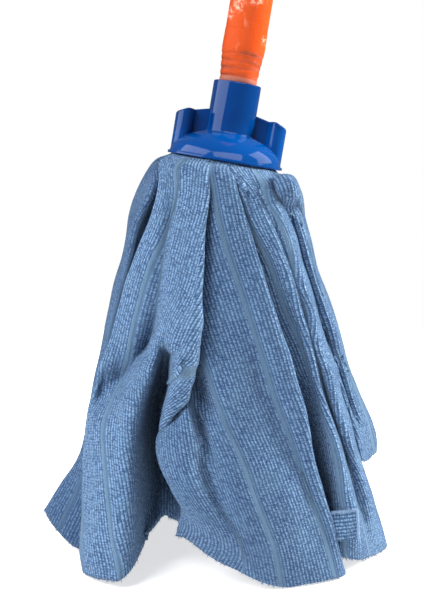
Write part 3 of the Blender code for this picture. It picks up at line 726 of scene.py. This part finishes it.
class Nodes:
    """Adds nodes to one material and links them."""

    def __init__(self, name):
        self.material = bpy.data.materials.new(name)
        self.material.use_nodes = True
        self.tree = self.material.node_tree
        self.shader = self.tree.nodes["Principled BSDF"]

    def plug(self, value, socket):
        if isinstance(value, bpy.types.NodeSocket):
            self.tree.links.new(value, socket)
        else:
            socket.default_value = value

    def add(self, kind, inputs=(), **settings):
        """A new node with these settings, and with values or links on its inputs."""
        node = self.tree.nodes.new("ShaderNode" + kind)
        for key, value in settings.items():
            setattr(node, key, value)
        for key, value in dict(inputs).items():
            self.plug(value, node.inputs[key])
        return node

    def math(self, operation, *values):
        return self.add("Math", enumerate(values), operation=operation).outputs[0]

    def times(self, first, second):
        return self.math("MULTIPLY", first, second)

    def scaled(self, value, factor, offset):
        return self.math("MULTIPLY_ADD", value, factor, offset)

    def noise(self, vector, scale, detail=2.0, roughness=0.5):
        inputs = {"Vector": vector, "Scale": scale, "Detail": detail, "Roughness": roughness}
        return self.add("TexNoise", inputs).outputs["Fac"]

    def cells(self, vector, jitter):
        """Distance to the nearest cell's middle, and a number of the cell's own."""
        node = self.add("TexVoronoi", {"Vector": vector, "Scale": 1.0, "Randomness": jitter})
        return node.outputs["Distance"], self.parts(node.outputs["Color"])[0]

    def attribute(self, name):
        return self.add("Attribute", attribute_name=name).outputs["Fac"]

    def near(self, point, radius):
        """1 at a point, fading to 0 at the radius, in metres."""
        node = self.add("VectorMath", {0: self.place(), 1: point}, operation="DISTANCE")
        return self.steps(node.outputs["Value"], radius, radius * 0.3)

    def joined(self, first, second):
        return self.add("CombineXYZ", {0: first, 1: second}).outputs[0]

    def parts(self, vector):
        return tuple(self.add("SeparateXYZ", {0: vector}).outputs)

    def stretched(self, vector, scale):
        return self.add("Mapping", {"Vector": vector, "Scale": scale}).outputs[0]

    def blend(self, share, first, second):
        return self.add("Mix", {0: share, 2: first, 3: second}).outputs[0]

    def mix(self, share, first, second):
        return self.add("Mix", {0: share, 6: first, 7: second}, data_type="RGBA").outputs[2]

    def steps(self, value, low, high):
        """0 at low, 1 at high, smooth between."""
        inputs = {"Value": value, "From Min": low, "From Max": high}
        return self.add("MapRange", inputs, interpolation_type="SMOOTHSTEP").outputs[0]

    def place(self):
        return self.add("TexCoord").outputs["Object"]

    def bump(self, height, distance, strength=1.0):
        node = self.add("Bump", {"Height": height, "Distance": distance, "Strength": strength})
        self.tree.links.new(node.outputs[0], self.shader.inputs["Normal"])

    def set(self, **values):
        for key, value in values.items():
            self.plug(value, self.shader.inputs[key.replace("_", " ")])
        return self.material


def colour(red, green, blue):
    """A colour given as a screen shows it, from 0 to 255, as the shader's linear value."""
    made = []
    for value in (red, green, blue):
        value /= 255
        made.append(value / 12.92 if value <= 0.04045 else ((value + 0.055) / 1.055) ** 2.4)
    return (*made, 1.0)


def terry_material():
    """Blue microfibre: ribs of small uneven bobbles with painted shade in the gaps, and greyer flat bands
    with a seam.
    """
    n = Nodes("terry_cloth")
    weave = n.add("UVMap", uv_map="Weave").outputs[0]
    flat = n.attribute("band")
    seam = n.attribute("seam")
    across, down, _ = n.parts(weave)
    drift = n.scaled(n.noise(weave, 0.35, 2.0), 0.5, -0.25)
    rib = n.math("ADD", n.math("DIVIDE", across, RIB_PITCH), drift)
    slip = n.times(n.noise(weave, 0.5, 2.0), 1.6)
    course = n.math("ADD", n.math("DIVIDE", down, LOOP_PITCH), slip)
    distance, tint = n.cells(n.joined(rib, course), 0.4)
    rib_wave = n.scaled(n.math("COSINE", n.times(rib, 2 * math.pi)), -0.5, 0.5)
    loop = n.steps(distance, 0.7, 0.1)
    fibres = n.noise(weave, 2.2, 3.0, 0.7)
    bobble = n.times(n.math("POWER", rib_wave, 0.5), n.scaled(loop, 0.78, 0.22))
    bobble = n.times(bobble, n.scaled(fibres, 0.9, 0.6))
    knit = n.scaled(n.math("COSINE", n.times(across, 2 * math.pi / 0.8)), 0.2, 0.5)
    knit = n.times(knit, n.scaled(fibres, 2.4, -0.2))
    knit = n.times(knit, n.scaled(seam, -0.5, 1.0))
    lifted = n.blend(flat, bobble, knit)
    dark = n.mix(flat, colour(26, 50, 86), colour(44, 72, 108))
    light = n.mix(flat, colour(126, 158, 197), colour(116, 143, 166))
    # Painted shade: the colour is darker where the pile is low, in the gaps and seams, and lighter on the
    # raised tops.
    shade = n.mix(n.steps(lifted, 0.05, 0.85), dark, light)
    greyer = n.mix(n.times(tint, 0.3), shade, colour(92, 124, 154))
    patches = n.steps(n.noise(weave, 0.09, 3.0), 0.4, 0.65)
    worn = n.mix(n.times(patches, 0.18), greyer, colour(92, 124, 152))
    # Painted shade: each cloth is painted darker by its own amount, for the shade it lies in under these
    # lights.
    with_painted_shade = n.mix(n.attribute("darker"), worn, colour(22, 44, 80))
    n.bump(lifted, 0.0008, 0.8)
    return n.set(Base_Color=with_painted_shade, Roughness=0.92, Sheen_Weight=0.2, Sheen_Roughness=0.5,
                 Sheen_Tint=colour(150, 175, 205), Specular_IOR_Level=0.15)


def fringe_material():
    """Loose cut loops at the hems."""
    n = Nodes("terry_fringe")
    shade = n.mix(n.noise(n.place(), 900, 1.0), colour(62, 88, 122), colour(120, 148, 180))
    n.bump(n.noise(n.place(), 2500, 1.0), 0.0002, 0.5)
    return n.set(Base_Color=shade, Roughness=0.95, Sheen_Weight=0.3)


def cap_material():
    """Glossy blue moulded polypropylene, with faint waves in its skin and light scuffs."""
    n = Nodes("cap_blue")
    here = n.place()
    _, _, height = n.parts(here)
    # Painted shade: the upright tube is painted darker than the dome, which faces the light from above.
    tube = n.steps(height, 0.238, 0.25)
    cloudy = n.noise(here, 60, 2.0)
    shade = n.mix(tube, colour(0, 60, 127), colour(0, 47, 106))
    shade = n.mix(n.times(cloudy, 0.2), shade, colour(0, 46, 104))
    fine = n.noise(here, 900, 2.0)
    rough = n.scaled(n.steps(fine, 0.5, 0.75), 0.06, 0.08)
    n.bump(n.noise(here, 45, 1.0), 0.0004, 0.12)
    return n.set(Base_Color=shade, Roughness=rough, Subsurface_Weight=0.05, Subsurface_Scale=0.003)


def film_material():
    """Orange shrunk film: long faint marks, rubbed pale places, and dirt with painted shade in the wrinkles
    at its low end.
    """
    n = Nodes("orange_film")
    here = n.place()
    long_marks = n.noise(n.stretched(here, (1, 1, 0.25)), 170, 3.0, 0.6)
    spots = n.noise(here, 420, 3.0, 0.65)
    scuffs = n.times(n.steps(long_marks, 0.58, 0.74), 0.3)
    for across, up, radius in SCUFFS:
        out = -math.sqrt(FILM_RADIUS**2 - across**2)
        rubbed = n.near(HEAD @ (Vector((across, out, up)) * MM), radius * MM)
        scuffs = n.math("MAXIMUM", scuffs, n.times(rubbed, n.steps(spots, 0.42, 0.62)))
    shade = n.mix(n.noise(here, 35, 2.0), colour(172, 60, 16), colour(184, 72, 22))
    shade = n.mix(n.times(scuffs, 0.7), shade, colour(240, 178, 156))
    grime_and_shade = n.attribute("grime_and_shade")
    # Painted shade: the wrinkle grooves at the low end are painted darker.
    shade = n.mix(n.times(grime_and_shade, 0.6), shade, colour(120, 42, 20))
    dirt = n.times(grime_and_shade, n.steps(spots, 0.42, 0.6))
    shade = n.mix(n.times(dirt, 0.75), shade, colour(92, 54, 40))
    shade = n.mix(n.times(n.attribute("pale"), 0.7), shade, colour(150, 104, 92))
    n.bump(n.noise(n.stretched(here, (1, 1, 2.5)), 210, 2.0), 0.0006, 0.5)
    rough = n.scaled(scuffs, 0.25, 0.4)
    return n.set(Base_Color=shade, Roughness=rough, Specular_IOR_Level=0.2)


def moulded_material(name, shade, darker, rough):
    """Plain moulded plastic with a slightly uneven skin."""
    n = Nodes(name)
    here = n.place()
    mixed = n.mix(n.noise(here, 180, 3.0), shade, darker)
    n.bump(n.noise(here, 700, 2.0), 0.0002, 0.3)
    return n.set(Base_Color=mixed, Roughness=rough, Coat_Weight=0.15)


def steel_material():
    """Zinc-plated steel."""
    n = Nodes("zinc")
    here = n.place()
    mixed = n.mix(n.noise(here, 800, 3.0), colour(190, 192, 194), colour(158, 160, 160))
    n.bump(n.noise(here, 1500, 2.0), 0.0001, 0.4)
    return n.set(Base_Color=mixed, Metallic=1.0, Roughness=0.32)


def pine_material():
    """Turned pine, with grain along the handle."""
    n = Nodes("pine")
    here = n.place()
    grain = n.noise(n.stretched(here, (1, 1, 0.04)), 420, 4.0, 0.6)
    mixed = n.mix(n.steps(grain, 0.35, 0.7), colour(216, 178, 124), colour(176, 128, 76))
    n.bump(grain, 0.0003, 0.5)
    return n.set(Base_Color=mixed, Roughness=0.6)


def tape_material():
    """Woven white gathering tape."""
    n = Nodes("tape")
    here = n.place()
    weave = n.noise(n.stretched(here, (1, 1, 3)), 1400, 1.0)
    n.bump(weave, 0.0003, 0.8)
    return n.set(Base_Color=n.mix(weave, colour(205, 208, 212), colour(235, 236, 238)), Roughness=0.9)


def floor_material():
    """Pale floor that glows a little, so that it meets the backdrop without an edge."""
    n = Nodes("pale_floor")
    shade = n.mix(n.noise(n.place(), 3.0, 2.0), colour(216, 216, 218), colour(222, 222, 223))
    return n.set(Base_Color=shade, Roughness=0.9, Specular_IOR_Level=0.0,
                 Emission_Color=(1, 1, 1, 1), Emission_Strength=0.68)


# --- pieces ---


def cloths():
    """The eight terry cloths, each with its fringe."""
    terry = terry_material()
    fringe_look = fringe_material()
    for seed, (side, (guides, runs, bands)) in enumerate(cloth_guides().items()):
        sheet, fringe = terry_sheet("terry_" + side, guides, runs, bands, 7 * seed)
        sheet.data.materials.append(terry)
        fringe.data.materials.append(fringe_look)
        # Painted shade for this cloth, stored as its darker value.
        mark(sheet, "darker", np.full(len(sheet.data.vertices), float(PAINTED_SHADE[side])))
        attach(sheet, "mop_head")
        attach(fringe, "mop_head")
        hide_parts("cloth_" + side)
        small = hem_tab(terry, fringe_look) if side == "front_right" else []


def neck_shape(heights, angles):
    """The radius of the film's low end, and how much dirt and painted shade its wrinkles get, at each height
    and angle.
    """
    radius = np.interp(heights, *zip(*NECK_PROFILE))[:, None] * np.ones(len(angles))
    grime_and_shade = np.zeros_like(radius)
    for height, depth, half, arch, start in WRINKLES:
        middle = height + arch * np.sin(angles + start) + 0.25 * np.sin(3 * angles + 2 * start)
        away = heights[:, None] - middle
        radius -= depth * (0.75 + 0.25 * np.sin(2 * angles + 3 * start)) * np.exp(-((away / half) ** 2))
        # Near a wrinkle's groove the film gets both dirt and painted shade.
        near_groove = np.exp(-((away / GROOVE_MARK_REACH) ** 2))
        grime_and_shade = np.maximum(grime_and_shade, near_groove * (0.6 + 0.4 * np.sin(angles * 2 + start)))
    return radius, grime_and_shade


def neck_film(look):
    """The film's low end, shrunk over the screw end, with wrinkles across it."""
    rings, turns = FILM_GRID
    heights = np.linspace(MOUTH_HEIGHT + 0.25, FILM_END, rings)
    angles = np.linspace(0, 2 * math.pi, turns, endpoint=False)
    radius, grime_and_shade = neck_shape(heights, angles)
    up = heights[:, None] * np.ones(turns)
    pale = np.clip((MOUTH_HEIGHT + PALE_WIDTH - up) / 1.2, 0, 1)
    outside, inside = (
        np.stack([spread * np.cos(angles), spread * np.sin(angles), up], axis=-1)
        for spread in (radius, radius - FILM_WALL)
    )
    round_wall = np.concatenate([outside, inside[::-1]]).reshape(-1, 3)
    placed = [tuple((HEAD @ (Vector(point) * MM) - FOOT) / MM) for point in round_wall]
    index = np.arange(len(placed)).reshape(-1, turns)
    film = mesh_from("neck_film", placed, tube_faces(np.concatenate([index, index[:1]])))
    mark(film, "grime_and_shade", np.concatenate([grime_and_shade, grime_and_shade[::-1]]).ravel())
    mark(film, "pale", np.concatenate([pale, pale[::-1]]).ravel())
    film.data.materials.append(look)
    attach(film, "handle")


def smooth_by_angle():
    """A node group that smooths a mesh's shading, but not across sharp edges."""
    group = bpy.data.node_groups.new("smooth_by_angle", "GeometryNodeTree")
    for way in ("INPUT", "OUTPUT"):
        group.interface.new_socket("Geometry", in_out=way, socket_type="NodeSocketGeometry")
    start = group.nodes.new("NodeGroupInput")
    end = group.nodes.new("NodeGroupOutput")
    edge = group.nodes.new("GeometryNodeInputMeshEdgeAngle")
    compare = group.nodes.new("FunctionNodeCompare")
    compare.operation = "LESS_EQUAL"
    compare.inputs[1].default_value = math.radians(SHARP_ANGLE)
    shade = group.nodes.new("GeometryNodeSetShadeSmooth")
    shade.domain = "EDGE"
    group.links.new(edge.outputs["Unsigned Angle"], compare.inputs[0])
    group.links.new(compare.outputs[0], shade.inputs["Shade Smooth"])
    group.links.new(start.outputs[0], shade.inputs["Geometry"])
    group.links.new(shade.outputs[0], end.inputs[0])
    return group


def sharpen(node, group):
    """Smooth shading on a CAD node, kept sharp at its corners."""
    mesh = node.data
    mesh.polygons.foreach_set("use_smooth", [True] * len(mesh.polygons))
    if "custom_normal" in mesh.attributes:
        mesh.attributes.remove(mesh.attributes["custom_normal"])
    node.modifiers.new("weld", "WELD").merge_threshold = 1e-5
    node.modifiers.new("smooth_by_angle", "NODES").node_group = group
    node.modifiers.new("weighted_normal", "WEIGHTED_NORMAL").keep_sharp = True


def carried():
    """The CAD nodes that stay, with their finished materials."""
    film = film_material()
    steel = steel_material()
    looks = {
        "socket_cap": cap_material(),
        "clamp_disc": moulded_material("disc_blue", colour(60, 102, 172), colour(48, 88, 154), 0.4),
        "clamp_washer": steel,
        "clamp_screw": steel,
        "gather_tape": tape_material(),
        "neck_ring": moulded_material("ring_pale", colour(206, 118, 88), colour(190, 96, 66), 0.45),
        "screw_end": film,
        "end_tack": steel,
        "stick": pine_material(),
        "film_sleeve": film,
        "hanger_cap": moulded_material("hanger_blue", colour(16, 72, 168), colour(12, 60, 148), 0.3),
        "cap_tack": steel,
    }
    group = smooth_by_angle()
    for name, look in looks.items():
        node = frame["nodes"][name]
        node.data.materials.clear()
        node.data.materials.append(look)
        sharpen(node, group)
    neck_film(film)


# --- studio ---


def area_light(name, at, target, size, power, shade=(1, 1, 1), gloss=False):
    """A soft rectangular light. A gloss light shows only in reflections, and the others never do."""
    light = bpy.data.lights.new(name, "AREA")
    light.shape = "RECTANGLE"
    light.size, light.size_y = size
    light.energy = power
    light.color = shade
    obj = bpy.data.objects.new(name, light)
    obj.location = at
    obj.rotation_euler = (Vector(target) - Vector(at)).to_track_quat("-Z", "Y").to_euler()
    obj.visible_camera = False
    obj.visible_glossy = gloss
    obj.visible_diffuse = not gloss
    bpy.context.scene.collection.objects.link(obj)


def studio():
    """Pale floor, pale room, soft lights from the left and the right, and bright panels for the shine."""
    scene = bpy.context.scene
    scene.view_settings.view_transform = "Standard"
    world = bpy.data.worlds.new("room")
    scene.world = world
    world.use_nodes = True
    background = world.node_tree.nodes["Background"]
    background.inputs["Color"].default_value = (1, 1, 1, 1)
    seen = world.node_tree.nodes.new("ShaderNodeLightPath")
    level = world.node_tree.nodes.new("ShaderNodeMapRange")
    level.inputs["To Min"].default_value = ROOM_LIGHT
    world.node_tree.links.new(seen.outputs["Is Camera Ray"], level.inputs["Value"])
    world.node_tree.links.new(level.outputs[0], background.inputs["Strength"])

    bpy.ops.mesh.primitive_circle_add(vertices=96, radius=0.9, fill_type="NGON", location=(0, 0, -0.0005))
    floor = bpy.context.object
    floor.name = "floor"
    floor.data.materials.append(floor_material())

    middle = (RIM.x, RIM.y, 0.2)
    area_light("ceiling", (-0.95, -0.9, 1.4), middle, (1.1, 1.1), 55)
    area_light("left_window", (-1.1, -0.7, 0.9), middle, (0.45, 1.0), 1.5)
    area_light("right_window", (1.0, 0.15, 0.7), middle, (0.35, 0.7), 48, (1, 0.94, 0.84))
    area_light("shine_low", (-1.0, -0.2, 0.5), RIM, (1.35, 0.4), 4, (0.86, 0.95, 1), gloss=True)
    area_light("shine_left", (-0.85, -0.25, 0.95), RIM, (1.3, 0.5), 5, gloss=True)
    area_light("shine_front", (0.15, -0.95, 0.85), RIM, (1.15, 0.7), 6, gloss=True)
    area_light("shine_right", (1.0, 0.1, 0.8), RIM, (0.85, 0.8), 5, gloss=True)


def camera():
    """A long lens, level with the cap and tilted a little down."""
    data = bpy.data.cameras.new("camera")
    data.lens = CAMERA_LENS
    obj = bpy.data.objects.new("camera", data)
    obj.location = CAMERA_AT
    obj.rotation_euler = (math.radians(90 - CAMERA_DOWN), 0, 0)
    bpy.context.scene.collection.objects.link(obj)
    bpy.context.scene.camera = obj


camera()
studio()
carried()
cloths()
